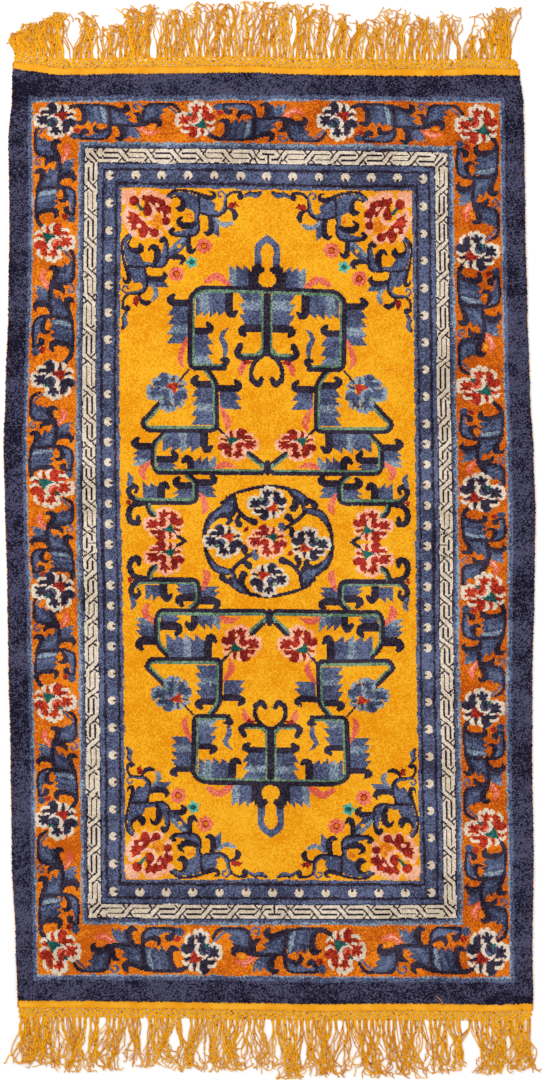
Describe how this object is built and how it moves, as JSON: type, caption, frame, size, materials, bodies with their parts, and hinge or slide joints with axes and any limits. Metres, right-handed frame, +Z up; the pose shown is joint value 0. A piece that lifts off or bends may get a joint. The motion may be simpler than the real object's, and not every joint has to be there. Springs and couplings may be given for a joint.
{
  "type": "silk rug",
  "caption": "Rectangular hand-knotted silk rug with a flower medallion, scrolling borders, corded sides and a knotted fringe at each end.",
  "frame": {"origin": "on the floor, at the middle of the bounding box of rug and fringes", "axes": "+Y along the rug's length towards the picture's top, +X to the picture's right, +Z up out of the pile"},
  "size_m": [0.9267, 1.8676, 0.007],
  "materials": {
    "pile_silk": "cut silk pile, gold field with navy, blue, cream, coral and red figures",
    "gold_silk": "plied silk warp ends and flat weave, golden yellow"
  },
  "bodies": {
    "root": {"rug": "pile_silk", "side_cord_left": "gold_silk", "side_cord_right": "gold_silk", "fringe_upper": "gold_silk", "fringe_lower": "gold_silk"}
  },
  "joints": []
}
